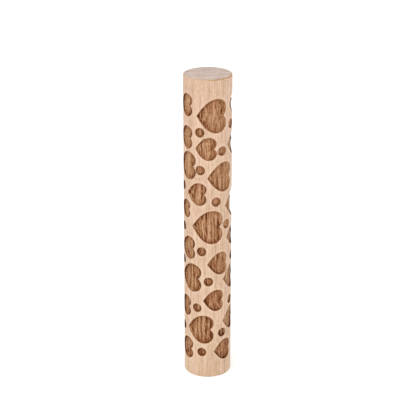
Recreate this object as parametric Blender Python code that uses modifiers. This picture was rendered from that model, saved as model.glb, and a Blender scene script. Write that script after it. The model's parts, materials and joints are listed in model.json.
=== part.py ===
"""Clay texture roller: one beech dowel, engraved all round with hearts and dots.

Metres, +Z up. The roller stands on an end face, with the origin at that face's centre.
The front of the pattern faces -Y, and +X is to the right of it.

The pattern is cut while the dowel's skin still lies flat. The skin is then rolled up into
the round side of the dowel, and the two end faces close it.
"""

import math

import bmesh
import bpy
from mathutils import Vector

# The dowel, turned round with a small chamfer at both ends
ROLLER_DIAMETER = 0.015
ROLLER_LENGTH = 0.100
EDGE_BREAK = 0.0003
ROUND_STEPS = 48

# The engraving, all sunk to one depth
ENGRAVING_DEPTH = 0.0006
HEART_LENGTH = 0.010
DOT_DIAMETER = 0.0029
HEART_CURVE_STEPS = 4
DOT_STEPS = 12

# How far cutters and spare stock reach past a cut, and the distance that counts as touching
CUT_OVERRUN = 0.001
WELD_DISTANCE = 0.000005

# Worked out from the sizes above
CIRCUMFERENCE = math.pi * ROLLER_DIAMETER
FACET_ARC = CIRCUMFERENCE / ROUND_STEPS
CUT_THICKNESS = ENGRAVING_DEPTH + CUT_OVERRUN

# Faces that meet at less than the first angle are one flat face, and at less than the
# second are shaded as one round surface
FLAT_ANGLE = math.radians(1)
SMOOTH_ANGLE = math.radians(30)

# Upper half of a heart that lies on its side, in shares of its length: from the tip at
# the left, over the widest place and the end of the lobe, to the notch between the lobes.
# Each row is a point, the handle before it and the handle after it.
HEART_OUTLINE_SHARES = [
    ((0.000, 0.00), (0.23, -0.36), (0.23, 0.36)),
    ((0.655, 0.55), (0.42, 0.55), (0.85, 0.55)),
    ((1.000, 0.25), (1.00, 0.42), (1.00, 0.13)),
    ((0.870, 0.00), (0.93, 0.05), (0.93, -0.05)),
]

# Where the hearts lie: share of the way round to the right of the front, share of the
# length above the lower end, and share of HEART_LENGTH. They run down the front, down
# its left and right sides, and then down the two columns of the back.
HEART_SHARES = [
    (0.030, 0.886, 0.96),
    (-0.012, 0.782, 0.66),
    (0.091, 0.688, 0.86),
    (-0.079, 0.634, 0.66),
    (-0.001, 0.525, 0.99),
    (0.072, 0.400, 0.68),
    (0.041, 0.273, 0.66),
    (-0.054, 0.171, 0.89),
    (0.114, 0.092, 0.65),
    (-0.176, 0.914, 0.64),
    (-0.177, 0.812, 0.65),
    (-0.167, 0.722, 0.80),
    (-0.185, 0.577, 0.53),
    (-0.161, 0.448, 0.68),
    (-0.135, 0.348, 0.86),
    (-0.193, 0.243, 0.63),
    (-0.178, 0.094, 0.67),
    (0.235, 0.914, 0.64),
    (0.226, 0.788, 0.73),
    (0.229, 0.591, 0.92),
    (0.214, 0.483, 0.66),
    (0.197, 0.342, 0.78),
    (0.189, 0.195, 0.72),
    (0.420, 0.906, 0.70),
    (0.430, 0.806, 0.74),
    (0.361, 0.689, 0.80),
    (0.433, 0.594, 0.76),
    (0.395, 0.464, 0.84),
    (0.386, 0.364, 0.66),
    (0.416, 0.254, 0.88),
    (0.433, 0.158, 0.64),
    (0.314, 0.094, 0.60),
    (0.463, 0.082, 0.56),
    (0.625, 0.893, 0.88),
    (0.637, 0.776, 0.80),
    (0.539, 0.694, 0.66),
    (0.666, 0.646, 0.64),
    (0.620, 0.544, 0.88),
    (0.581, 0.446, 0.66),
    (0.673, 0.374, 0.54),
    (0.543, 0.346, 0.60),
    (0.607, 0.268, 0.66),
    (0.603, 0.175, 0.76),
    (0.637, 0.085, 0.64),
]

# Where the dots lie, in the same order: share of the way round and share of the length
DOT_SHARES = [
    (-0.053, 0.834),
    (0.102, 0.772),
    (-0.049, 0.713),
    (0.059, 0.609),
    (0.144, 0.528),
    (-0.041, 0.443),
    (0.006, 0.340),
    (-0.074, 0.246),
    (0.106, 0.155),
    (-0.040, 0.090),
    (-0.212, 0.649),
    (-0.208, 0.513),
    (-0.221, 0.398),
    (-0.219, 0.165),
    (0.190, 0.851),
    (0.219, 0.410),
    (0.192, 0.260),
    (0.357, 0.852),
    (0.467, 0.741),
    (0.352, 0.532),
    (0.497, 0.521),
    (0.306, 0.414),
    (0.518, 0.399),
    (0.280, 0.276),
    (0.318, 0.200),
    (0.550, 0.121),
    (0.573, 0.832),
    (0.726, 0.832),
    (0.689, 0.707),
    (0.577, 0.618),
    (0.713, 0.479),
    (0.700, 0.426),
    (0.701, 0.317),
    (0.724, 0.211),
    (0.722, 0.134),
]


def clear_scene():
    for item in list(bpy.data.objects):
        bpy.data.objects.remove(item)


def new_collection(name):
    collection = bpy.data.collections.new(name)
    bpy.context.scene.collection.children.link(collection)
    return collection


def wood(name, colour, roughness):
    """A Principled material in a linear colour."""
    material = bpy.data.materials.new(name)
    material.use_nodes = True
    shader = material.node_tree.nodes["Principled BSDF"]
    shader.inputs["Base Color"].default_value = (*colour, 1)
    shader.inputs["Roughness"].default_value = roughness
    shader.inputs["Metallic"].default_value = 0
    material.diffuse_color = (*colour, 1)
    return material


def cutter(name, mesh, material, collection):
    """An object that only cuts, in the material that it leaves on what it cuts."""
    item = bpy.data.objects.new(name, mesh)
    mesh.materials.append(material)
    collection.objects.link(item)
    item.hide_render = True
    item.display_type = "WIRE"
    return item


def evaluated(item):
    """A bmesh of what an object's modifiers or curve settings give, with its seams welded."""
    depsgraph = bpy.context.evaluated_depsgraph_get()
    mesh = bpy.data.meshes.new_from_object(item.evaluated_get(depsgraph))
    result = bmesh.new()
    result.from_mesh(mesh)
    bmesh.ops.remove_doubles(result, verts=result.verts, dist=WELD_DISTANCE)
    bpy.data.meshes.remove(mesh)
    return result


def heart_point(shares):
    """Shares of a heart's length as a point, counted from the middle of its length."""
    along, across = shares
    return Vector(((along - 1 / 2) * HEART_LENGTH, across * HEART_LENGTH, 0))


def heart_stamp():
    """A heart of HEART_LENGTH on its side, as a flat block centred on the origin.

    The lower half of the outline mirrors the two middle points of the upper half and
    swaps their handles. The curve fills its faces with triangles, which become one face.
    """
    outline = list(HEART_OUTLINE_SHARES)
    for point, before, after in reversed(HEART_OUTLINE_SHARES[1:-1]):
        outline.append([(along, -across) for along, across in (point, after, before)])

    curve = bpy.data.curves.new("heart_outline", "CURVE")
    curve.dimensions = "2D"
    curve.fill_mode = "BOTH"
    curve.resolution_u = HEART_CURVE_STEPS
    curve.extrude = CUT_THICKNESS / 2
    spline = curve.splines.new("BEZIER")
    spline.bezier_points.add(len(outline) - 1)
    spline.use_cyclic_u = True
    for place, (point, before, after) in zip(spline.bezier_points, outline):
        place.handle_left_type = "FREE"
        place.handle_right_type = "FREE"
        place.co = heart_point(point)
        place.handle_left = heart_point(before)
        place.handle_right = heart_point(after)

    drawn = bpy.data.objects.new("heart_outline", curve)
    bpy.context.scene.collection.objects.link(drawn)
    block = evaluated(drawn)
    bmesh.ops.dissolve_limit(block, angle_limit=FLAT_ANGLE, verts=block.verts, edges=block.edges)
    mesh = bpy.data.meshes.new("heart_stamp")
    block.to_mesh(mesh)
    block.free()
    bpy.data.objects.remove(drawn)
    return mesh


def dot_stamp():
    """A round block of DOT_DIAMETER, centred on the origin."""
    block = bmesh.new()
    bmesh.ops.create_cone(
        block,
        cap_ends=True,
        segments=DOT_STEPS,
        radius1=DOT_DIAMETER / 2,
        radius2=DOT_DIAMETER / 2,
        depth=CUT_THICKNESS,
    )
    mesh = bpy.data.meshes.new("dot_stamp")
    block.to_mesh(mesh)
    block.free()
    return mesh


def pattern_stamps():
    """All the motifs as blocks on the flat skin, from the engraving's floor upwards.

    The skin's two side edges become one seam, so a motif near one edge is also placed
    one turn further on, where its rest reaches over the other edge.
    """
    heart = heart_stamp()
    dot = dot_stamp()
    placed = [(heart, around, up, size) for around, up, size in HEART_SHARES]
    placed += [(dot, around, up, 1) for around, up in DOT_SHARES]
    rise = CUT_OVERRUN - CUT_THICKNESS / 2
    edge = CIRCUMFERENCE / 2 + HEART_LENGTH

    stamps = bmesh.new()
    for stamp, around, up, size in placed:
        for turn in (-1, 0, 1):
            arc = (around + turn) * CIRCUMFERENCE
            if abs(arc) > edge:
                continue
            first = len(stamps.verts)
            stamps.from_mesh(stamp)
            stamps.verts.ensure_lookup_table()
            block = stamps.verts[first:]
            bmesh.ops.scale(stamps, vec=Vector((size, size, 1)), verts=block)
            bmesh.ops.translate(stamps, vec=Vector((arc, up * ROLLER_LENGTH, rise)), verts=block)
    mesh = bpy.data.meshes.new("pattern_stamps")
    stamps.to_mesh(mesh)
    stamps.free()
    bpy.data.meshes.remove(heart)
    bpy.data.meshes.remove(dot)
    return mesh


def skin_slab():
    """The flat stock for the skin: strips as wide as the dowel's facets, and spare at every edge."""
    strips = ROUND_STEPS + 2
    slab = bmesh.new()
    bmesh.ops.create_grid(slab, x_segments=strips, y_segments=1, size=1 / 2)
    stock = Vector((strips * FACET_ARC, ROLLER_LENGTH + 2 * CUT_OVERRUN, 1))
    bmesh.ops.scale(slab, vec=stock, verts=slab.verts)
    bmesh.ops.translate(slab, vec=Vector((0, ROLLER_LENGTH / 2, 0)), verts=slab.verts)
    mesh = bpy.data.meshes.new("roller")
    slab.to_mesh(mesh)
    slab.free()
    return mesh


def split(skin, place, across, clear=False):
    """Cut the skin along a plane, and clear what lies on the side that `across` points to."""
    bmesh.ops.bisect_plane(
        skin,
        geom=skin.verts[:] + skin.edges[:] + skin.faces[:],
        dist=WELD_DISTANCE,
        plane_co=place,
        plane_no=across,
        clear_outer=clear,
    )


def rolled(flat):
    """Roll a point of the flat skin round the dowel.

    x is the arc to the right of the front, y the height up the dowel and z the height
    above its surface, so the turn is x / radius and the reach is radius + z.
    """
    radius = ROLLER_DIAMETER / 2
    turn = flat.x / radius
    reach = radius + flat.z
    return Vector((reach * math.sin(turn), -reach * math.cos(turn), flat.y))


def close_end(skin, height, shift):
    """Close one end of the rolled skin: a chamfer that rises by `shift`, then a flat face."""
    rim = [edge for edge in skin.edges if edge.is_boundary]
    rim = [edge for edge in rim if abs(edge.verts[0].co.z - height) < EDGE_BREAK / 2]
    grown = bmesh.ops.extrude_edge_only(skin, edges=rim)["geom"]
    corners = [item for item in grown if isinstance(item, bmesh.types.BMVert)]
    shrink = 1 - EDGE_BREAK / (ROLLER_DIAMETER / 2)
    bmesh.ops.scale(skin, vec=Vector((shrink, shrink, 1)), verts=corners)
    bmesh.ops.translate(skin, vec=Vector((0, 0, shift)), verts=corners)
    edges = [item for item in grown if isinstance(item, bmesh.types.BMEdge)]
    bmesh.ops.edgeloop_fill(skin, edges=[edge for edge in edges if edge.is_boundary])


def rolled_up(skin):
    """Trim the engraved slab to the open skin, fold it at its facets and roll it up."""
    low = EDGE_BREAK
    high = ROLLER_LENGTH - EDGE_BREAK
    split(skin, Vector((0, low, 0)), Vector((0, -1, 0)), clear=True)
    split(skin, Vector((0, high, 0)), Vector((0, 1, 0)), clear=True)
    split(skin, Vector((0, 0, -ENGRAVING_DEPTH - CUT_OVERRUN / 2)), Vector((0, 0, -1)), clear=True)
    split(skin, Vector((-CIRCUMFERENCE / 2, 0, 0)), Vector((-1, 0, 0)), clear=True)
    split(skin, Vector((CIRCUMFERENCE / 2, 0, 0)), Vector((1, 0, 0)), clear=True)
    for fold in range(1, ROUND_STEPS):
        split(skin, Vector((fold * FACET_ARC - CIRCUMFERENCE / 2, 0, 0)), Vector((1, 0, 0)))
    for corner in skin.verts:
        corner.co = rolled(corner.co)
    bmesh.ops.remove_doubles(skin, verts=skin.verts, dist=WELD_DISTANCE)
    close_end(skin, low, -EDGE_BREAK)
    close_end(skin, high, EDGE_BREAK)
    bmesh.ops.recalc_face_normals(skin, faces=skin.faces)


clear_scene()
pieces = new_collection("Clay texture roller")
cutters = new_collection("Cutters")
beech = wood("Bare beech", (0.76, 0.54, 0.38), 0.6)
burnt = wood("Laser-burnt beech", (0.42, 0.21, 0.11), 0.8)
stamps = cutter("pattern_stamps", pattern_stamps(), burnt, cutters)

roller = bpy.data.objects.new("roller", skin_slab())
pieces.objects.link(roller)
roller.data.materials.append(beech)
thicken = roller.modifiers.new("Flat stock", "SOLIDIFY")
thicken.thickness = CUT_THICKNESS
thicken.offset = -1
engrave = roller.modifiers.new("Engraved pattern", "BOOLEAN")
engrave.operation = "DIFFERENCE"
engrave.solver = "EXACT"
engrave.use_self = True
engrave.material_mode = "TRANSFER"
engrave.object = stamps

skin = evaluated(roller)
rolled_up(skin)
roller.modifiers.clear()
roller.data.materials.append(burnt)
skin.to_mesh(roller.data)
skin.free()
roller.data.shade_smooth()
roller.data.set_sharp_from_angle(angle=SMOOTH_ANGLE)
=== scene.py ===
"""Clay texture roller: a beech dowel that a laser has engraved all round with hearts and dots.

The roller stands on its lower end. Its shape is worked out in millimetres on the unrolled
skin, where s is the arc to the right of the front and z the height, and is then rolled up.
"""

import json
import math

import bpy
import numpy as np
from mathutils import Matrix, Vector
from mathutils.geometry import delaunay_2d_cdt

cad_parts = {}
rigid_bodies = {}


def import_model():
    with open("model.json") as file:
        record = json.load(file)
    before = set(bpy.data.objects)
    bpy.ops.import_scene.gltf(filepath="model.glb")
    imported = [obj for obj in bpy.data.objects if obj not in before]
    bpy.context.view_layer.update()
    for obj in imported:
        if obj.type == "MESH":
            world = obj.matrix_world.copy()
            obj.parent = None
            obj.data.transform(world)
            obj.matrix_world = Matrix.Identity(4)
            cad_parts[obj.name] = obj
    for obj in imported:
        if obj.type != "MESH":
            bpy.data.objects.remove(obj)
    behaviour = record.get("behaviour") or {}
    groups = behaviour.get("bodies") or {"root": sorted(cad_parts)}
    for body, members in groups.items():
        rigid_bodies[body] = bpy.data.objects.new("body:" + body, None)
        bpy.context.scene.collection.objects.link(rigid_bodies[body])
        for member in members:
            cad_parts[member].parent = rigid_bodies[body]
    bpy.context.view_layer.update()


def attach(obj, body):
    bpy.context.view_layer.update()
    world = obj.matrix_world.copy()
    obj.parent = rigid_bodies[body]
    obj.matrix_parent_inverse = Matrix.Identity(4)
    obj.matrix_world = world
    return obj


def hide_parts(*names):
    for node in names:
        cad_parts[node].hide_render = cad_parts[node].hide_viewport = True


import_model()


# The dowel's skin: beech, turned round and sanded. A laser then burns hearts and dots into
# it, all to one depth, with steep walls that its round spot leaves slightly flared.

# In mm: the dowel's length, its radius and the way round it, its rounded edges, how deep
# the motifs are sunk, the length that the hearts' sizes are shares of, and a dot's diameter.
LENGTH = 100.0
RADIUS = 7.5
ROUND = 2 * math.pi * RADIUS
EDGE_BREAK = 0.3
SINK = 0.6
HEART = 10.0
DOT = 2.9

# Upper half of a heart on its side, as cubic curves in shares of its length: tip, widest
# place, end of the lobe, and the notch between the lobes.
HEART_CURVES = np.array(
    [
        [(0.000, 0.00), (0.23, 0.36), (0.42, 0.55), (0.655, 0.55)],
        [(0.655, 0.55), (0.85, 0.55), (1.00, 0.42), (1.000, 0.25)],
        [(1.000, 0.25), (1.00, 0.13), (0.93, 0.05), (0.870, 0.00)],
    ]
)

# Share of the way round to the right of the front, share of the length above the lower
# end, and share of HEART. They run down the front, its two sides, and then the back.
HEART_SHARES = np.array(
    [
        (0.030, 0.886, 0.96), (-0.012, 0.782, 0.66), (0.091, 0.688, 0.86),
        (-0.079, 0.634, 0.66), (-0.001, 0.525, 0.99), (0.072, 0.400, 0.68),
        (0.041, 0.273, 0.66), (-0.054, 0.171, 0.89), (0.114, 0.092, 0.65),
        (-0.176, 0.914, 0.64), (-0.177, 0.812, 0.65), (-0.167, 0.722, 0.80),
        (-0.185, 0.577, 0.53), (-0.161, 0.448, 0.68), (-0.135, 0.348, 0.86),
        (-0.193, 0.243, 0.63), (-0.178, 0.094, 0.67), (0.235, 0.914, 0.64),
        (0.226, 0.788, 0.73), (0.229, 0.591, 0.92), (0.214, 0.483, 0.66),
        (0.197, 0.342, 0.78), (0.189, 0.195, 0.72), (0.420, 0.906, 0.70),
        (0.430, 0.806, 0.74), (0.361, 0.689, 0.80), (0.433, 0.594, 0.76),
        (0.395, 0.464, 0.84), (0.386, 0.364, 0.66), (0.416, 0.254, 0.88),
        (0.433, 0.158, 0.64), (0.314, 0.094, 0.60), (0.463, 0.082, 0.56),
        (0.625, 0.893, 0.88), (0.637, 0.776, 0.80), (0.539, 0.694, 0.66),
        (0.666, 0.646, 0.64), (0.620, 0.544, 0.88), (0.581, 0.446, 0.66),
        (0.673, 0.374, 0.54), (0.543, 0.346, 0.60), (0.607, 0.268, 0.66),
        (0.603, 0.175, 0.76), (0.637, 0.085, 0.64),
    ]
)

# Dots in the same order: share of the way round and share of the length. Three at the far
# left stand up to 0.24 mm nearer the front than in the solid, so that no light passes them.
DOT_SHARES = np.array(
    [
        (-0.053, 0.834), (0.102, 0.772), (-0.049, 0.713), (0.059, 0.609), (0.144, 0.528),
        (-0.041, 0.443), (0.006, 0.340), (-0.074, 0.246), (0.106, 0.155), (-0.040, 0.090),
        (-0.210, 0.649), (-0.208, 0.513), (-0.216, 0.398), (-0.214, 0.165), (0.190, 0.851),
        (0.219, 0.410), (0.192, 0.260), (0.357, 0.852), (0.467, 0.741), (0.352, 0.532),
        (0.497, 0.521), (0.306, 0.414), (0.518, 0.399), (0.280, 0.276), (0.318, 0.200),
        (0.550, 0.121), (0.573, 0.832), (0.726, 0.832), (0.689, 0.707), (0.577, 0.618),
        (0.713, 0.479), (0.700, 0.426), (0.701, 0.317), (0.724, 0.211), (0.722, 0.134),
    ]
)

# The wall under a rim: how far in from the rim, and how deep.
WALL = np.array([(0.0, 0.0), (0.05, 0.26), (0.12, 0.48), (0.22, SINK)])

# Wood further than NEARBY from a motif isn't measured against it, and wood that is near no
# motif at all counts as FAR_OUTSIDE.
NEARBY = 1.5
FAR_OUTSIDE = -3.0

# Spacing of the points along a rim, and of those that fill floors and bare wood, round
# and along. Floors take more round the dowel, because the burnt grain stands in ridges.
RIM_STEP = 0.19
FLOOR_STEPS = (0.17, 0.50)
BARE_STEPS = (0.42, 0.85)

# How far the filling points keep from the foot of a wall, from a rim and from the ends, and
# the share of a step that they are shaken by, so that no rows show in the shading.
WALL_GAP = 0.09
RIM_GAP = 0.16
END_GAP = 0.3
SHAKE = 0.12


def even(line, step):
    """The open line with its points about `step` apart: point k lies at k/n of its length."""
    lengths = np.concatenate([[0], np.cumsum(np.hypot(*np.diff(line, axis=0).T))])
    at = np.linspace(0, lengths[-1], max(8, round(lengths[-1] / step)) + 1)
    return np.stack([np.interp(at, lengths, line[:, axis]) for axis in (0, 1)], axis=1)


def heart_outline(s, z, length):
    """A closed heart: each curve is (1-t)^3 a + 3t(1-t)^2 b + 3t^2(1-t) c + t^3 d, then mirrored.

    It runs from the tip over the upper lobe to the notch, and back by the lower lobe, so
    the inside is on its right.
    """
    t = np.linspace(0, 1, 60)[:, None]
    powers = [(1 - t) ** 3, 3 * t * (1 - t) ** 2, 3 * t**2 * (1 - t), t**3]
    half = np.concatenate([sum(p * c for p, c in zip(powers, curve)) for curve in HEART_CURVES])
    half = even(half * length, RIM_STEP)
    whole = np.concatenate([half, half[-2:0:-1] * [1, -1]])
    return whole - [length / 2, 0] + [s, z]


def dot_outline(s, z):
    """A closed circle, run clockwise so that the inside is on its right."""
    count = round(math.pi * DOT / RIM_STEP)
    turn = -np.arange(count) / count * 2 * math.pi
    return np.stack([s + DOT / 2 * np.cos(turn), z + DOT / 2 * np.sin(turn)], axis=1)


def inside_by(points, outline):
    """How far each point is inside a closed outline, in mm, negative outside.

    The size is the distance to the nearest of the outline's segments. The sign comes from
    how often a line to the right of the point crosses the outline.
    """
    a = outline[None]
    b = np.roll(outline, -1, axis=0)[None]
    p = points[:, None]
    along = ((p - a) * (b - a)).sum(-1) / ((b - a) ** 2).sum(-1)
    nearest = a + np.clip(along, 0, 1)[..., None] * (b - a)
    distance = np.hypot(*np.moveaxis(p - nearest, -1, 0)).min(axis=1)
    spans = (a[..., 1] > p[..., 1]) != (b[..., 1] > p[..., 1])
    rise = np.where(a[..., 1] == b[..., 1], 1, b[..., 1] - a[..., 1])
    crossing = a[..., 0] + (p[..., 1] - a[..., 1]) * (b[..., 0] - a[..., 0]) / rise
    inside = (spans & (crossing > p[..., 0])).sum(axis=1) % 2 == 1
    return np.where(inside, distance, -distance)


def inset(outline, distance):
    """The outline moved inwards: point + distance x normal, less what comes too near the rim."""
    if distance == 0:
        return outline
    run = np.roll(outline, -1, axis=0) - np.roll(outline, 1, axis=0)
    normal = np.stack([run[:, 1], -run[:, 0]], axis=1) / np.hypot(*run.T)[:, None]
    moved = outline + distance * normal
    return moved[inside_by(moved, outline) > 0.97 * distance]


def lattice(around, along, low, high, seed):
    """Points in rows over the whole skin, every second row shifted by half a step.

    Point k of n in a row stands at (k + shake) / n of the way round.
    """
    columns = round(ROUND / around)
    rows = round((high - low) / along)
    shaken = np.random.default_rng(seed).uniform(-SHAKE, SHAKE, (rows, columns, 2))
    row, column = np.mgrid[0:rows, 0:columns]
    s = (column + (row % 2) / 2 + shaken[..., 0]) / columns * ROUND - ROUND / 2
    z = low + (row + 0.5 + shaken[..., 1]) * (high - low) / rows
    return np.stack([s.ravel(), z.ravel()], axis=1)


outlines = [heart_outline(s * ROUND, z * LENGTH, size * HEART) for s, z, size in HEART_SHARES]
outlines += [dot_outline(s * ROUND, z * LENGTH) for s, z in DOT_SHARES]


def how_far_in(points):
    """How far each point of the skin is inside a motif: the largest inside_by of them all.

    Ways are counted across the back as well, where s jumps from one half round to the other.
    """
    best = np.full(len(points), FAR_OUTSIDE)
    for outline in outlines:
        middle = outline.mean(axis=0)
        reach = np.hypot(*(outline - middle).T).max() + NEARBY
        apart = points - middle
        apart[:, 0] -= ROUND * np.round(apart[:, 0] / ROUND)
        near = np.hypot(*apart.T) < reach
        best[near] = np.maximum(best[near], inside_by(apart[near] + middle, outline))
    return best


def loop(first, count):
    """Edges that close `count` points, numbered from `first`, into a ring."""
    here = np.arange(count)
    return np.stack([first + here, first + (here + 1) % count], axis=1)


low, high = EDGE_BREAK, LENGTH - EDGE_BREAK
rim_points = round(ROUND / RIM_STEP)
rim_s = (np.arange(rim_points) / rim_points - 0.5) * ROUND
rings = [np.stack([rim_s, np.full(rim_points, height)], axis=1) for height in (low, high)]
ring_inset = [np.zeros(rim_points)] * 2
ring_depth = [np.zeros(rim_points)] * 2
for outline in outlines:
    for distance, depth in WALL:
        ring = inset(outline, distance)
        rings.append(ring)
        ring_inset.append(np.full(len(ring), distance))
        ring_depth.append(np.full(len(ring), depth))

floor_fill = lattice(*FLOOR_STEPS, low, high, seed=3)
floor_inset = how_far_in(floor_fill)
kept = floor_inset > WALL[-1, 0] + WALL_GAP
floor_fill, floor_inset = floor_fill[kept], floor_inset[kept]
bare_fill = lattice(*BARE_STEPS, low + END_GAP, high - END_GAP, seed=4)
bare_inset = how_far_in(bare_fill)
kept = bare_inset < -RIM_GAP
bare_fill, bare_inset = bare_fill[kept], bare_inset[kept]

skin = np.concatenate([*rings, floor_fill, bare_fill])
skin_inset = np.concatenate([*ring_inset, floor_inset, bare_inset])
fill_depth = [np.full(len(floor_fill), SINK), np.zeros(len(bare_fill))]
skin_depth = np.concatenate([*ring_depth, *fill_depth])
starts = np.cumsum([0] + [len(ring) for ring in rings])
edges = np.concatenate([loop(start, len(ring)) for start, ring in zip(starts, rings)])

# The points are joined into triangles on a disc, where the skin closes on itself without a
# seam: distance from its middle = e^(z / RADIUS) and angle = s / RADIUS, which keeps shapes.
spread = np.exp((skin[:, 1] - LENGTH / 2) / RADIUS)
turn = skin[:, 0] / RADIUS
on_disc = np.stack([spread * np.cos(turn), spread * np.sin(turn)], axis=1)
joined = delaunay_2d_cdt(list(map(Vector, on_disc.tolist())), edges.tolist(), [], 0, 1e-9, True)
order = np.array([sources[0] for sources in joined[3]])
skin_faces = order[np.array(joined[2])]
skin_faces = skin_faces[(skin_faces >= rim_points).any(axis=1)]

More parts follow.
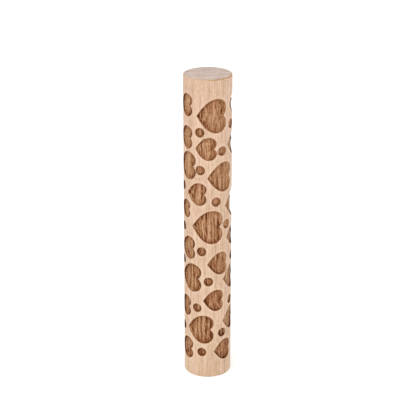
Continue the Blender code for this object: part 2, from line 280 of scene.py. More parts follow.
# Marks that the grain leaves in the burnt floors, and faintly in the bare wood: s, z, half
# width, half length and darkness, negative where a pale band runs. Those of the front are
# placed one by one.
GRAIN_MARKS = np.array(
    [
        (-1.90, 89.3, 0.22, 1.8, 0.8), (-2.90, 88.6, 0.35, 0.9, 0.6), (-1.30, 90.2, 0.18, 0.9, 0.6),
        (-0.30, 92.3, 0.25, 1.0, 0.6), (-1.00, 86.4, 0.20, 0.7, 0.8), (-0.40, 87.6, 0.15, 1.0, 0.5),
        (0.15, 85.5, 0.18, 0.7, 0.7), (-0.55, 85.4, 0.20, 0.5, 0.7), (1.10, 92.0, 0.15, 1.2, 0.5),
        (2.00, 86.8, 0.20, 1.3, 0.8), (2.70, 85.0, 0.20, 1.5, 0.7), (2.60, 91.5, 0.20, 1.3, 0.7),
        (4.85, 90.0, 0.30, 1.0, 0.8), (4.30, 92.5, 0.30, 0.7, 0.5), (4.00, 87.5, 0.18, 1.2, 0.3),
        (0.60, 87.5, 0.25, 1.6, -0.4), (3.25, 91.5, 0.22, 1.4, -0.5), (3.30, 86.5, 0.30, 2.0, -0.3),
        (-0.60, 89.8, 0.15, 1.6, -0.4),
        (-2.00, 79.0, 0.25, 1.8, 0.9), (-2.90, 77.4, 0.20, 0.6, 0.6), (-0.40, 80.5, 0.28, 0.5, 1.0),
        (-0.45, 77.5, 0.22, 1.9, 0.6), (1.45, 78.7, 0.25, 0.9, 0.9), (1.90, 80.2, 0.25, 0.9, 0.5),
        (-1.35, 79.0, 0.25, 1.8, -0.4), (0.20, 76.2, 0.20, 1.0, -0.4), (-2.60, 78.4, 0.30, 0.9, -0.3),
        (2.00, 71.0, 0.28, 0.6, 1.3), (1.40, 70.4, 0.20, 0.8, 0.6), (3.40, 67.4, 0.20, 2.2, 0.7),
        (3.00, 70.2, 0.18, 1.0, 0.4), (1.75, 68.0, 0.15, 1.4, 0.5), (1.10, 68.5, 0.20, 0.7, -0.6),
        (7.50, 69.8, 0.40, 0.7, 0.5), (5.50, 72.2, 0.20, 1.0, 0.3), (4.20, 68.0, 0.30, 3.0, -0.2),
        (-6.40, 63.4, 0.35, 0.5, 0.7), (-5.60, 63.6, 0.28, 0.5, -1.0), (-5.50, 62.3, 0.35, 0.4, 0.9),
        (-4.65, 63.2, 0.22, 1.9, 0.8), (-3.70, 65.5, 0.20, 0.8, 0.4), (-1.80, 65.6, 0.22, 1.0, 1.1),
        (-2.00, 62.9, 0.18, 1.5, 0.6), (-1.30, 65.4, 0.15, 1.0, -0.6), (-2.90, 64.0, 0.25, 2.4, -0.3),
        (-4.20, 53.0, 0.34, 0.9, 1.1), (-3.05, 52.4, 0.20, 1.4, 0.9), (-3.50, 52.2, 0.16, 0.9, -0.3),
        (-2.00, 56.0, 0.25, 1.2, 0.8), (-2.30, 53.0, 0.20, 2.4, 0.5), (-1.95, 50.0, 0.26, 1.6, 0.7),
        (-0.50, 56.2, 0.32, 1.5, 0.8), (-0.45, 51.8, 0.24, 1.1, 0.6), (-0.90, 48.9, 0.30, 1.0, 0.7),
        (2.10, 53.8, 0.18, 1.8, 0.7), (1.40, 50.5, 0.18, 1.4, 0.8), (1.40, 57.0, 0.20, 0.7, 0.5),
        (0.60, 55.5, 0.14, 1.5, 0.4), (3.80, 53.5, 0.30, 0.8, 0.8), (3.85, 48.8, 0.22, 0.8, 0.5),
        (-1.45, 50.2, 0.18, 2.0, -0.7), (0.15, 56.0, 0.26, 1.5, -0.4), (2.90, 55.0, 0.26, 2.0, -0.4),
        (-1.55, 54.0, 0.15, 2.0, -0.5), (0.60, 50.5, 0.30, 2.4, -0.3),
        (-6.00, 48.0, 0.28, 0.6, 1.0), (-5.20, 45.0, 0.18, 2.6, 0.7), (-7.80, 47.0, 0.25, 1.0, 0.5),
        (-8.00, 42.6, 0.50, 0.5, 0.8), (-7.60, 45.6, 0.45, 1.8, -0.4), (-5.85, 45.5, 0.20, 2.2, -0.4),
        (-2.45, 44.5, 0.28, 1.2, 0.6), (-1.55, 44.4, 0.30, 1.0, -0.4),
        (3.45, 41.6, 0.20, 2.6, 1.0), (4.35, 38.2, 0.18, 1.3, 0.8), (2.10, 40.5, 0.24, 2.0, 0.5),
        (5.60, 41.1, 0.30, 0.6, 0.9), (2.75, 41.4, 0.20, 2.0, -0.4), (1.00, 40.4, 0.18, 1.4, 0.4),
        (-0.50, 34.3, 0.22, 1.2, 0.9), (0.35, 34.4, 0.12, 1.4, 1.0), (0.65, 34.3, 0.12, 1.2, -0.6),
        (-0.05, 34.6, 0.14, 1.0, -0.5),
        (-5.30, 38.3, 0.24, 1.4, 0.8), (-6.25, 36.4, 0.22, 2.0, 0.5), (-4.80, 35.5, 0.25, 1.2, 0.7),
        (-3.80, 32.4, 0.14, 1.4, 0.8), (-3.30, 32.5, 0.12, 1.3, 0.8), (-2.60, 33.0, 0.26, 1.0, 0.7),
        (-6.70, 33.0, 0.40, 1.0, 0.7), (-7.20, 31.5, 0.40, 0.8, 0.6), (-4.45, 33.0, 0.22, 1.6, -0.6),
        (-3.40, 36.2, 0.35, 1.5, -0.4), (-5.75, 32.6, 0.22, 1.4, -0.4),
        (-0.90, 27.5, 0.40, 0.7, 1.0), (1.90, 25.7, 0.18, 0.7, 0.9), (4.60, 28.5, 0.28, 1.5, 0.8),
        (4.40, 26.4, 0.28, 0.8, 0.8), (2.40, 29.5, 0.24, 1.0, 0.5), (1.45, 25.6, 0.15, 0.7, -0.6),
        (3.10, 27.4, 0.30, 2.2, -0.3), (-3.90, 24.5, 0.30, 0.9, 0.7), (-3.20, 24.8, 0.42, 0.9, -0.6),
        (-2.25, 17.4, 0.22, 4.4, 0.9), (-0.65, 20.6, 0.24, 1.2, 0.8), (-0.50, 16.5, 0.28, 1.6, 1.0),
        (-0.90, 13.5, 0.40, 1.2, 0.5), (1.05, 19.0, 0.28, 1.0, 0.9), (1.20, 15.0, 0.28, 1.0, 1.0),
        (-3.60, 19.2, 0.22, 1.2, 0.4), (-4.90, 18.0, 0.20, 1.5, 0.4), (-5.80, 16.6, 0.45, 0.9, 0.6),
        (-1.50, 17.6, 0.28, 4.0, -0.6), (-3.20, 17.0, 0.35, 3.2, -0.3), (0.25, 17.4, 0.25, 3.6, -0.3),
        (4.20, 11.0, 0.35, 0.5, 0.8), (5.00, 7.4, 0.30, 0.5, 0.9), (7.40, 10.3, 0.35, 0.6, 0.8),
        (5.00, 9.8, 0.40, 2.0, 0.4), (2.95, 9.3, 0.30, 0.8, -0.3), (-1.50, 9.0, 0.18, 1.1, -0.8),
        (-2.20, 8.8, 0.25, 1.2, 0.6), (5.15, 15.7, 0.22, 0.6, -0.5), (4.30, 15.5, 0.45, 1.1, 0.7),
        (5.80, 15.2, 0.35, 0.9, 0.6),
        (-7.40, 91.2, 0.50, 2.4, -0.4), (-6.10, 94.0, 0.35, 0.5, 0.6), (-5.45, 89.7, 0.22, 0.6, 0.9),
        (-7.00, 88.2, 0.50, 0.5, 0.7), (-5.55, 79.4, 0.25, 0.9, 0.9), (-7.20, 80.6, 0.45, 2.0, -0.3),
        (-7.40, 72.0, 0.60, 3.0, -0.4), (-4.30, 74.5, 0.22, 0.7, 0.8), (-4.60, 70.0, 0.25, 0.8, 0.6),
        (-7.00, 59.5, 0.30, 0.5, 0.6), (-7.60, 25.0, 0.45, 2.4, -0.4), (-8.00, 7.8, 0.35, 0.8, 0.6),
        (-7.30, 10.6, 0.40, 1.4, -0.3), (7.20, 20.0, 0.50, 1.8, -0.4),
        (8.70, 21.8, 0.30, 0.8, 0.6), (8.30, 34.5, 0.40, 1.8, -0.3), (9.60, 33.6, 0.30, 1.6, 0.6),
        (2.60, 83.4, 0.15, 0.8, 0.2), (-2.60, 83.6, 0.14, 0.9, -0.6), (4.85, 77.4, 0.28, 0.8, -0.5),
        (-2.20, 71.3, 0.30, 1.0, -0.2), (2.90, 61.2, 0.35, 0.8, -0.4), (6.85, 52.9, 0.30, 0.7, -0.4),
    ]
)

# Whole motifs drawn darker, or paler, than the rest, in the same five numbers. Most were burnt
# so by the laser. The four dots past 9.8 mm left of the front are darkened with painted shade,
# and the three dots 6.8 to 9.1 mm right of it are paled with painted light.
MOTIF_BURN_LIGHT_AND_SHADE = np.array(
    [
        (5.7, 9.2, 3.8, 4.2, 0.11), (-8.0, 9.5, 3.4, 4.2, 0.13), (-8.9, 24.4, 3.4, 3.8, 0.18),
        (-2.0, 44.3, 1.7, 1.7, 0.11), (5.0, 15.5, 1.7, 1.7, 0.12), (-3.5, 24.6, 1.7, 1.7, 0.08),
        (-1.9, 9.0, 1.7, 1.7, 0.06), (-7.2, 45.0, 3.4, 3.8, 0.10), (-8.2, 81.2, 3.4, 3.8, 0.11),
        (6.8, 52.8, 1.7, 1.7, -0.22), (9.0, 26.0, 1.7, 1.7, -0.26), (9.1, 84.9, 1.7, 1.7, -0.26),
        (-0.3, 78.2, 3.8, 3.8, -0.06), (0.5, 52.5, 5.4, 6.0, -0.05), (4.8, 77.2, 1.7, 1.7, -0.12),
        (-9.9, 64.9, 1.7, 1.7, 0.45), (-9.8, 51.3, 1.7, 1.7, 0.60), (-10.2, 39.8, 1.7, 1.7, 0.90),
        (-10.1, 16.5, 1.7, 1.7, 0.80),
    ]
)

# Those of the back run in lines 0.9 to 1.9 mm apart, from 11.4 mm right of the front round to
# 10.6 mm left of it. Each line is broken into marks of a few mm.
dice = np.random.default_rng(11)
line_s = 11.4 + np.cumsum(dice.uniform(0.9, 1.9, 17))
marks_a_line = 16
line_s = line_s[line_s < ROUND - 10.6]
mark_z = np.tile((np.arange(marks_a_line) + 0.5) * LENGTH / marks_a_line, len(line_s))
line_s = np.repeat(line_s, marks_a_line)
back_marks = np.stack(
    [
        line_s + dice.normal(0, 0.10, len(line_s)),
        mark_z + dice.uniform(-2.5, 2.5, len(line_s)),
        dice.uniform(0.15, 0.32, len(line_s)),
        dice.uniform(0.7, 3.2, len(line_s)),
        dice.choice([0.9, 0.7, 0.5, 0.0, -0.4, -0.5], len(line_s)),
    ],
    axis=1,
)
grain_light_and_shade_marks = np.concatenate([GRAIN_MARKS, MOTIF_BURN_LIGHT_AND_SHADE, back_marks])


def grain_light_and_shade_at(points):
    """Darkness of the grain, and of the painted light and shade on a few whole motifs: the sum of the
    marks' darkness x their spread across x along.

    The spread is e^-(distance / reach)^4, with a reach of nine tenths of the half width
    across and of the half length along. The lines wander by up to 0.2 mm as they rise.
    """
    s, z = points.T
    s = s + 0.12 * np.sin(0.9 * z + 0.8 * s) + 0.07 * np.sin(2.3 * z - 1.1 * s)
    mark_s, mark_z, wide, long, dark = grain_light_and_shade_marks.T
    across = s[:, None] - mark_s
    across -= ROUND * np.round(across / ROUND)
    along = z[:, None] - mark_z
    return (dark * np.exp(-((across / (0.9 * wide)) ** 4) - (along / long) ** 4)).sum(axis=1)


# Where the grain is dark, the laser has burnt the floor a little deeper, and fine ridges
# follow the fibres between the lines. Both fade out at the walls. The whole-motif marks of
# painted light and shade sink or raise the floor in the same way. In mm: how much deeper,
# how high the ridges are, and how far apart.
GRAIN_BITE = 0.035
RIDGE_HEIGHT = 0.012
RIDGE_STEP = 0.93
skin_grain_light_and_shade = grain_light_and_shade_at(skin)
s, z = skin.T
ridges = np.sin(2 * math.pi * (s + 0.15 * np.sin(0.7 * z)) / RIDGE_STEP + 0.8 * np.sin(0.23 * z))
on_floor = np.clip((skin_inset - 0.12) / 0.25, 0, 1)
burnt_off = on_floor * (GRAIN_BITE * np.clip(skin_grain_light_and_shade, -1, 1) + RIDGE_HEIGHT * ridges)
reach = RADIUS - skin_depth - burnt_off
skin_points = np.stack([reach * np.sin(turn), -reach * np.cos(turn), z], axis=1)

# Where soot and painted shade lie. The way into a motif grows rightwards along its left rim, and
# upwards along its lower rim. Soot and painted shade are darkest behind the rims nearest the front
# on both sides of the dowel, where those rims shadow the floor. On the left they are darker below a
# rim than above one, and everywhere darker towards the foot. Painted shade darkens a wider strip
# of floor along a right rim, most on the left side of the dowel.
NUDGE = 0.03
rightwards, upwards = [
    (how_far_in(skin + nudge) - how_far_in(skin - nudge)) / (2 * NUDGE)
    for nudge in np.diag([NUDGE, NUDGE])
]
side = np.sin(turn)
soot_and_shade_cling = 0.74 - 0.28 * side**2
soot_and_shade_cling += (0.26 + 1.07 * side) * rightwards + (0.6 * side - 0.18) * upwards
soot_and_shade_cling *= 1.30 - 0.60 * z / LENGTH
shade_before_right_rim = np.clip(-rightwards, 0, 1) * (0.12 - 0.22 * side + 0.13 * side**2)


# The dowel's two ends: sawn across the grain and sanded flat, and their edges rounded over
# by 0.3 mm with sandpaper.

# The rings of points that round an edge, and the spacing of those that fill a face, in mm.
EDGE_RINGS = 4
END_FILL = 0.4


def end(outwards):
    """Rings of a quarter circle from the skin to the flat face, and points that fill the face.

    Ring k of n stands at k/n of the quarter turn: radius = RADIUS - b + b cos and height
    from the end = b - b sin, where b is EDGE_BREAK.
    """
    quarter = np.arange(1, EDGE_RINGS + 1)[:, None] / EDGE_RINGS * math.pi / 2
    radius = RADIUS - EDGE_BREAK + EDGE_BREAK * np.cos(quarter)
    inwards = EDGE_BREAK - EDGE_BREAK * np.sin(quarter)
    around = rim_s / RADIUS
    rounded = [radius * np.sin(around), -radius * np.cos(around), inwards + 0 * around]
    rounded = np.stack(rounded, axis=-1).reshape(-1, 3)
    count = round(2 * RADIUS / END_FILL)
    row, column = np.mgrid[0:count, 0:count]
    fill = np.stack([column + row % 2 / 2, row + 0.25], axis=-1).reshape(-1, 2) / count - 0.5
    fill = fill * 2 * RADIUS
    fill = fill[np.hypot(*fill.T) < RADIUS - EDGE_BREAK - END_FILL / 2]
    points = np.concatenate([rounded, np.c_[fill, np.zeros(len(fill))]])
    points[:, 2] = LENGTH - points[:, 2] if outwards > 0 else points[:, 2]
    return points


def end_faces(points, first, skin_ring):
    """Bands from the skin's ring over the rounded edge, and triangles over the flat face."""
    here = np.arange(rim_points)
    rings = first + rim_points * np.arange(EDGE_RINGS)[:, None] + here
    rows = np.concatenate([[skin_ring + here], rings])
    a, b = rows[:-1], rows[1:]
    around = np.roll(here, -1)
    bands = np.stack([a, a[:, around], b[:, around], a, b[:, around], b], axis=-1).reshape(-1, 3)
    last = rim_points * (EDGE_RINGS - 1)
    flat = points[last:, :2]
    ring = loop(0, rim_points)
    filled = delaunay_2d_cdt(list(map(Vector, flat.tolist())), ring.tolist(), [], 1, 1e-6, True)
    order = np.array([sources[0] for sources in filled[3]])
    return bands, first + last + order[np.array(filled[2])]


low_end, high_end = end(-1), end(1)
low_first, high_first = len(skin), len(skin) + len(low_end)
low_bands, low_face = end_faces(low_end, low_first, 0)
high_bands, high_face = end_faces(high_end, high_first, rim_points)


# The whole roller: one piece of beech, so one closed mesh. Its faces are sorted by finish:
# sanded side grain, burnt beech, the rubbed edges and the end grain.

points = np.concatenate([skin_points, low_end, high_end])
groups = [skin_faces, low_bands, high_bands, low_face, high_face]


def facing_out(faces, away):
    """The triangles turned so that their normals agree with `away` on the whole."""
    a, b, c = points[faces].transpose(1, 0, 2)
    agree = (np.cross(b - a, c - a) * away(a)).sum()
    return faces if agree > 0 else faces[:, ::-1]


def from_axis(at):
    """The way out from the dowel's axis: a place's x and y, and no z."""
    return at * [1, 1, 0]


groups = [facing_out(faces, from_axis) for faces in groups[:3]] + [
    facing_out(low_face, lambda at: np.broadcast_to([0, 0, -1], at.shape)),
    facing_out(high_face, lambda at: np.broadcast_to([0, 0, 1], at.shape)),
]
faces = np.concatenate(groups)
burnt = (skin_inset[groups[0]] > 0).any(axis=1)
edges_and_ends = [np.full(2 * len(low_bands), 2), np.full(len(low_face) + len(high_face), 3)]
finish = np.concatenate([burnt.astype(int), *edges_and_ends])

mesh = bpy.data.meshes.new("roller_wood")
mesh.from_pydata((points / 1000).tolist(), [], faces.tolist())
mesh.polygons.foreach_set("material_index", finish)

# What the finishes read at each point: the skin's values, and then one for all of the ends.
skin_facts = {
    "inside_rim": (skin_inset, FAR_OUTSIDE),
    "left_rim": (rightwards, 0.0),
    "grain_light_and_shade": (skin_grain_light_and_shade, 0.0),
    "soot_and_shade_cling": (soot_and_shade_cling, 0.0),
    "shade_before_right_rim": (shade_before_right_rim, 0.0),
}
for name, (on_skin, on_ends) in skin_facts.items():
    layer = mesh.attributes.new(name, "FLOAT", "POINT")
    values = np.concatenate([on_skin, np.full(len(points) - len(skin), on_ends)])
    layer.data.foreach_set("value", values)
mesh.shade_smooth()
mesh.set_sharp_from_angle(angle=math.radians(50))
mesh.validate()
roller = bpy.data.objects.new("beech_roller", mesh)
bpy.context.scene.collection.objects.link(roller)
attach(roller, "root")
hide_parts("roller")


def linear(code):
    """An sRGB hex colour as the linear colour that a shader takes."""
    share = np.array([int(code[k : k + 2], 16) for k in (0, 2, 4)]) / 255
    return (*np.where(share <= 0.04045, share / 12.92, ((share + 0.055) / 1.055) ** 2.4), 1)


def add(tree, kind, sockets=(), **settings):
    """Add a node with its own settings, each socket given a value or linked to what feeds it."""
    made = tree.nodes.new("ShaderNode" + kind)
    for name, value in settings.items():
        setattr(made, name, value)
    for name, value in dict(sockets).items():
        if isinstance(value, bpy.types.NodeSocket):
            tree.links.new(value, made.inputs[name])
        else:
            made.inputs[name].default_value = value
    return made


def new_finish(name, roughness, specular):
    """A material on the roller: its tree, its shader and the place on the wood in mm."""
    material = bpy.data.materials.new(name)
    material.use_nodes = True
    roller.data.materials.append(material)
    tree = material.node_tree
    shader = tree.nodes["Principled BSDF"]
    shader.inputs["Roughness"].default_value = roughness
    shader.inputs["Specular IOR Level"].default_value = specular
    place = add(tree, "TexCoord").outputs["Object"]
    place = add(tree, "VectorMath", {0: place, "Scale": 1000}, operation="SCALE").outputs[0]
    return tree, shader, place


def fibres(tree, place, wide, long, detail, shift):
    """Noise from 0 to 1 in upright streaks so many mm wide and long, moved off other noise."""
    scale = (1 / wide, 1 / wide, 1 / long)
    drawn_out = add(tree, "Mapping", {0: place, "Scale": scale, "Location": (shift, shift, shift)})
    sockets = {"Vector": drawn_out.outputs[0], "Scale": 1.0, "Detail": detail, "Roughness": 0.55}
    return add(tree, "TexNoise", sockets).outputs["Fac"]


def weigh(tree, start, *parts):
    """start + the sum of amount x value over the parts. Start and amounts may vary as well."""
    total = start
    for amount, value in parts:
        sockets = {0: value, 1: amount, 2: total}
        total = add(tree, "Math", sockets, operation="MULTIPLY_ADD").outputs[0]
    return total


def fade(tree, value, at_0, at_1):
    """0 where the value is at_0, 1 where it is at_1, and smooth between."""
    sockets = {"Value": value, "From Min": at_0, "From Max": at_1}
    return add(tree, "MapRange", sockets, interpolation_type="SMOOTHSTEP").outputs["Result"]


def wood_colour(tree, tone, *stops):
    """The wood's colour for a tone from 0 to 1, blended between sRGB colours at rising stops."""
    made = add(tree, "ValToRGB", {"Fac": tone})
    band = made.color_ramp.elements
    for at, _ in stops[1:-1]:
        band.new(at)
    for element, (at, code) in zip(band, stops):
        element.position = at
        element.color = linear(code)
    return made.outputs["Color"]


def tinted(tree, colour, tone, *stops):
    """The colour times the tint that the stops give for the tone."""
    tint = wood_colour(tree, tone, *stops)
    # A Mix node takes its two colours at sockets 6 and 7, and gives the mixed one at 2.
    sockets = {"Factor": 1.0, 6: colour, 7: tint}
    return add(tree, "Mix", sockets, data_type="RGBA", blend_type="MULTIPLY").outputs[2]


# Beech varies from pinkish to straw-coloured along its growth bands, burnt or not.
PINK_TO_STRAW = ((0.0, "FFF9FB"), (1.0, "FCFBF3"))


# Bare beech, turned and sanded: pale and pinkish, dull, with faint fibres up the dowel and
# the short dark flecks that beech is known by, a quarter of a mm wide. Its single fibres are
# about 0.02 mm wide, and are drawn 0.09 mm wide so that they show.
tree, shader, place = new_finish("Sanded beech side grain", roughness=0.5, specular=0.25)
inside_rim, left_rim, grain_light_and_shade = [
    add(tree, "Attribute", attribute_name=fact).outputs["Fac"]
    for fact in ("inside_rim", "left_rim", "grain_light_and_shade")
]
height = add(tree, "SeparateXYZ", {0: place}).outputs["Z"]
single_fibres = fibres(tree, place, wide=0.09, long=2.4, detail=1.0, shift=2.0)
bundles = fibres(tree, place, wide=0.36, long=9.0, detail=3.0, shift=9.0)
growth_bands = fibres(tree, place, wide=1.0, long=24.0, detail=2.0, shift=3.0)
clouds = fibres(tree, place, wide=6.0, long=22.0, detail=1.0, shift=5.0)
mottle = fibres(tree, place, wide=0.34, long=0.8, detail=1.0, shift=6.0)
flecks = fade(tree, fibres(tree, place, wide=0.26, long=1.3, detail=1.0, shift=1.0), 0.59, 0.67)

# The wood is a shade paler within 0.6 mm of a rim. In the last third of a millimetre it is
# scorched, and along a motif's left rim painted shade darkens it further.
paler = fade(tree, inside_rim, -1.0, -0.6)
scorch_and_shade = weigh(tree, 0.62, (0.26, left_rim))
scorch_and_shade = weigh(tree, 0.0, (scorch_and_shade, fade(tree, inside_rim, -0.34, 0.03)))
tone = weigh(
    tree,
    -1.08,
    (0.50, single_fibres),
    (0.70, growth_bands),
    (1.30, bundles),
    (0.30, clouds),
    (0.42, mottle),
    (-0.30, flecks),
    (0.14, paler),
    (-1.0, scorch_and_shade),
    (-0.18, grain_light_and_shade),
)
wood = wood_colour(tree, tone, (0.0, "BF9C7E"), (0.5, "E0C0A4"), (1.0, "F7DBC3"))
hue_bands = fibres(tree, place, wide=1.4, long=9.0, detail=2.0, shift=4.0)
hue = weigh(tree, 0.075, (1.0, hue_bands), (-0.0015, height))
wood = tinted(tree, wood, fade(tree, hue, 0.25, 0.75), *PINK_TO_STRAW)
wood = tinted(tree, wood, scorch_and_shade, (0.0, "FFFFFF"), (1.0, "FBEADC"))
tree.links.new(wood, shader.inputs["Base Color"])
bump = add(tree, "Bump", {"Height": bundles, "Strength": 0.25, "Distance": 0.00004})
tree.links.new(bump.outputs["Normal"], shader.inputs["Normal"])

# Laser-burnt beech: the floors and walls of the engraving, matt, browned through, with the
# grain burnt darker, and soot and painted shade under the rims. Burning brings out the grain,
# so its streaks are shorter and stronger than those of the sanded skin.
tree, shader, place = new_finish("Laser-burnt beech", roughness=0.6, specular=0.2)
inside_rim, grain_light_and_shade, soot_and_shade_cling, shade_before_right_rim = [
    add(tree, "Attribute", attribute_name=fact).outputs["Fac"]
    for fact in ("inside_rim", "grain_light_and_shade", "soot_and_shade_cling", "shade_before_right_rim")
]
apart = add(tree, "SeparateXYZ", {0: place}).outputs
single_fibres = fibres(tree, place, wide=0.08, long=1.8, detail=1.0, shift=1.0)
bundles = fibres(tree, place, wide=0.24, long=4.5, detail=3.0, shift=7.0)
growth_bands = fibres(tree, place, wide=0.75, long=16.0, detail=2.0, shift=2.0)
clouds = fibres(tree, place, wide=4.0, long=9.0, detail=1.0, shift=4.0)
mottle = fibres(tree, place, wide=0.42, long=0.8, detail=1.0, shift=8.0)

# Soot and painted shade lie along the rims, to a ragged edge about half a millimetre in. The
# walls more than 60 degrees off the front are darkened, partly char and partly painted shade,
# more towards the foot. The floor darkens faintly up to 1.7 mm in from every rim, and painted
# shade reaches 1.4 mm in from a right one.
ragged = fibres(tree, place, wide=0.9, long=1.1, detail=1.0, shift=6.0)
soot_and_shade_edge = weigh(tree, 0.22, (0.45, ragged))
share_in = add(tree, "Math", {0: inside_rim, 1: soot_and_shade_edge}, operation="DIVIDE").outputs[0]
soot_and_shade = weigh(tree, 0.0, (soot_and_shade_cling, fade(tree, share_in, 1.25, 0.15)))
char_and_shade = weigh(tree, 1.25, (-0.005, apart["Z"]))
char_and_shade = weigh(tree, 0.0, (char_and_shade, fade(tree, apart["Y"], -4, -2)))
char_and_shade = weigh(tree, 0.0, (char_and_shade, fade(tree, inside_rim, 0.14, 0.03)))
rim_darkening = fade(tree, inside_rim, 1.7, 0.4)
right_rim_shade = weigh(tree, 0.0, (shade_before_right_rim, fade(tree, inside_rim, 1.4, 0.6)))
tone = weigh(
    tree,
    -1.595,
    (0.70, single_fibres),
    (1.15, growth_bands),
    (1.45, bundles),
    (0.15, clouds),
    (0.85, mottle),
    (-0.66, grain_light_and_shade),
    (-0.42, soot_and_shade),
    (-0.80, char_and_shade),
    (-0.09, rim_darkening),
    (-1.0, right_rim_shade),
    # The tone rises a little towards the top. Towards both sides, past 2 mm off the middle, the
    # floors are lightened with painted light.
    (0.001, apart["Z"]),
    (0.05, fade(tree, apart["X"], 2, 7)),
    (0.03, fade(tree, apart["X"], -2, -7)),
)
burnt_wood = wood_colour(
    tree,
    tone,
    (0.0, "562702"),
    (0.2, "7A451A"),
    (0.4, "95613B"),
    (0.6, "AE7D58"),
    (0.8, "C3946F"),
    (1.0, "D2A988"),
)
hue_bands = fibres(tree, place, wide=0.8, long=9.0, detail=2.0, shift=3.0)
hue = weigh(tree, 0.0, (1.0, hue_bands), (-0.02, apart["X"]))
burnt_wood = tinted(tree, burnt_wood, fade(tree, hue, 0.36, 0.64), *PINK_TO_STRAW)

# The floors turn a shade yellower towards -X, and greener towards +X.
SIDE_TINTS = ((0.0, "FFFFFA"), (0.3, "FFFFFF"), (0.7, "FFFFFF"), (1.0, "F9FFF6"))
burnt_wood = tinted(tree, burnt_wood, fade(tree, apart["X"], -8, 8), *SIDE_TINTS)
tree.links.new(burnt_wood, shader.inputs["Base Color"])
bump = add(tree, "Bump", {"Height": bundles, "Strength": 0.5, "Distance": 0.00008})
tree.links.new(bump.outputs["Normal"], shader.inputs["Normal"])

# The rounded edges, rubbed smooth: a warmer line round each end, in patches a few mm long,
# and darker at the front right.
tree, shader, place = new_finish("Rubbed beech edge", roughness=0.55, specular=0.3)
apart = add(tree, "SeparateXYZ", {0: place}).outputs
patches = fade(tree, fibres(tree, place, wide=1.3, long=3.0, detail=1.0, shift=8.0), 0.40, 0.62)
darker_front_right = weigh(tree, 0.0, (fade(tree, apart["X"], -1.5, 1.0), fade(tree, apart["Y"], 2.0, -1.5)))
tone = weigh(tree, 1.0, (-0.35, patches), (-0.50, darker_front_right))
edge_wood = wood_colour(
    tree, tone, (0.0, "A88250"), (0.4, "C79D70"), (0.7, "D8B08C"), (1.0, "DCC0A8")
)
tree.links.new(edge_wood, shader.inputs["Base Color"])

# End grain: greyer and pinker than the side, because the cut tubes take the light in. Growth
# rings bow round the tree's heart, which lay behind the dowel, each with a thin dark late
# line, and pale rays cross them. The pores are about 0.07 mm across, and are drawn 0.2 mm so
# that they show. In mm: from one ring to the next, the heart's place seen from above, and how
# far the rings waver.
RING_STEP = 1.5
TREE_HEART = (-9.0, 34.0)
RING_WAVER = 1.5
tree, shader, place = new_finish("Beech end grain", roughness=0.7, specular=0.3)
wander = add(tree, "TexNoise", {"Vector": place, "Scale": 0.16, "Detail": 1.0}).outputs["Color"]
sockets = {0: wander, 1: (RING_WAVER, RING_WAVER, 0.0), 2: place}
wavered = add(tree, "VectorMath", sockets, operation="MULTIPLY_ADD").outputs[0]
from_heart = add(tree, "Mapping", {0: wavered, "Location": (-TREE_HEART[0], -TREE_HEART[1], 0.0)})
apart = add(tree, "SeparateXYZ", {0: from_heart.outputs[0]}).outputs
flat = add(tree, "CombineXYZ", {0: apart["X"], 1: apart["Y"]}).outputs[0]
radius = add(tree, "VectorMath", {0: flat}, operation="LENGTH").outputs["Value"]

# A year's growth varies, so the rings don't lie even. Each is pale in spring and darkens to
# its late line at nine tenths of the year.
year = add(tree, "TexNoise", {"W": radius, "Scale": 0.35, "Detail": 1.0}, noise_dimensions="1D")
years = weigh(tree, 0.0, (1 / RING_STEP, radius), (1.5, year.outputs["Fac"]))
season = add(tree, "Math", {0: years}, operation="FRACT").outputs[0]
late = weigh(tree, 0.0, (fade(tree, season, 0.25, 0.88), fade(tree, season, 1.0, 0.9)))

# The rays point at the heart. 95 of them to the radian makes them 0.37 mm wide here.
bearing = add(tree, "Math", {0: apart["X"], 1: apart["Y"]}, operation="ARCTAN2").outputs[0]
sockets = {0: weigh(tree, 0.0, (95.0, bearing)), 1: weigh(tree, 0.0, (0.45, radius))}
along_rays = add(tree, "CombineXYZ", sockets).outputs[0]
rays = add(tree, "TexNoise", {"Vector": along_rays, "Scale": 1.0, "Detail": 1.0}).outputs["Fac"]
pores = add(tree, "TexNoise", {"Vector": place, "Scale": 5.0, "Detail": 2.0}).outputs["Fac"]
clouds = add(tree, "TexNoise", {"Vector": place, "Scale": 0.3, "Detail": 1.0}).outputs["Fac"]
tone = weigh(tree, -0.62, (-0.42, late), (0.80, pores), (0.75, rays), (1.00, clouds))
end_wood = wood_colour(tree, tone, (0.0, "B79E8E"), (0.5, "CFB9AC"), (1.0, "E2D0C6"))
tree.links.new(end_wood, shader.inputs["Base Color"])
bump = add(tree, "Bump", {"Height": pores, "Strength": 0.2, "Distance": 0.00005})
tree.links.new(bump.outputs["Normal"], shader.inputs["Normal"])


# The studio: a white table that fades into a white room, two soft lamps and the camera.
# Table and room are white to the camera, and light the roller at a plain level.

# Half the table's width in m, how much it glows where it is seen, so that its white meets the
# room's, and how strongly the room lights the roller.
ROOM = 3.0
TABLE_LIFT = 0.33
ROOM_LIGHT = 0.85

# Blender starts with a cube, a light and a camera of its own.
startup = [item for item in bpy.data.objects if item.name in ("Cube", "Light", "Camera")]
for item in startup:
    bpy.data.objects.remove(item)


def seen_directly(tree):
    """1 for what the camera sees itself, in a gloss or through glass, and 0 for other light."""
    ray = add(tree, "LightPath").outputs
    seen = ray["Is Camera Ray"]
    for kind in ("Is Glossy Ray", "Is Transmission Ray"):
        seen = add(tree, "Math", {0: seen, 1: ray[kind]}, operation="MAXIMUM").outputs[0]
    return seen


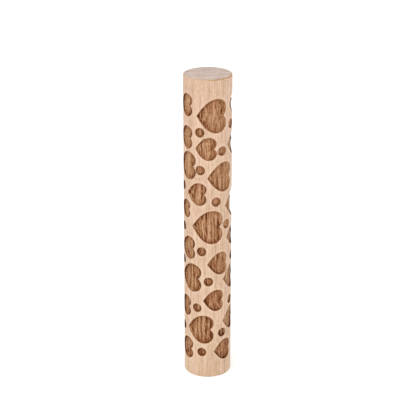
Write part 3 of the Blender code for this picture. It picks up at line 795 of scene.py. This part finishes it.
corners = [(-ROOM, -ROOM, 0), (ROOM, -ROOM, 0), (ROOM, ROOM, 0), (-ROOM, ROOM, 0)]
floor_mesh = bpy.data.meshes.new("white_table")
floor_mesh.from_pydata(corners, [], [(0, 1, 2, 3)])
floor = bpy.data.objects.new("white_table", floor_mesh)
bpy.context.scene.collection.objects.link(floor)
paper = bpy.data.materials.new("White paper")
paper.use_nodes = True
floor_mesh.materials.append(paper)
tree = paper.node_tree
shader = tree.nodes["Principled BSDF"]
shader.inputs["Base Color"].default_value = linear("F0F0F0")
shader.inputs["Roughness"].default_value = 1.0
shader.inputs["Specular IOR Level"].default_value = 0.0
shader.inputs["Emission Color"].default_value = linear("FFFFFF")
strength = weigh(tree, 0.0, (TABLE_LIFT, seen_directly(tree)))
tree.links.new(strength, shader.inputs["Emission Strength"])

world = bpy.data.worlds.new("White room")
bpy.context.scene.world = world
world.use_nodes = True
tree = world.node_tree
background = tree.nodes["Background"]
background.inputs["Color"].default_value = linear("FFFFFF")
strength = weigh(tree, ROOM_LIGHT, (1 - ROOM_LIGHT, seen_directly(tree)))
tree.links.new(strength, background.inputs["Strength"])


def soft_lamp(name, place, size, power):
    """A square lamp, so many metres wide and watts strong, that faces the roller's middle."""
    light = bpy.data.lights.new(name, "AREA")
    light.size = size
    light.energy = power
    lamp = bpy.data.objects.new(name, light)
    lamp.location = place
    facing = Vector((0, 0, LENGTH / 2000)) - Vector(place)
    lamp.rotation_euler = facing.to_track_quat("-Z", "Y").to_euler()
    bpy.context.scene.collection.objects.link(lamp)


soft_lamp("window_left", (-0.5, -0.75, 0.65), size=0.7, power=2.2)
soft_lamp("window_right", (0.55, -0.8, 0.5), size=0.7, power=0.8)

# The camera looks down on the roller from in front. Its place and lens are fitted so that
# the outline, both ends and the motifs fall where the photograph has them.
camera_data = bpy.data.cameras.new("camera")
camera_data.lens = 110.7375
camera_data.sensor_width = 36.0
camera = bpy.data.objects.new("camera", camera_data)
camera.location = (0, -0.374473, 0.204748)
camera.rotation_euler = [math.radians(angle) for angle in (68.3608, -0.0369, -0.0024)]
bpy.context.scene.collection.objects.link(camera)
bpy.context.scene.camera = camera
bpy.context.scene.view_settings.view_transform = "Standard"
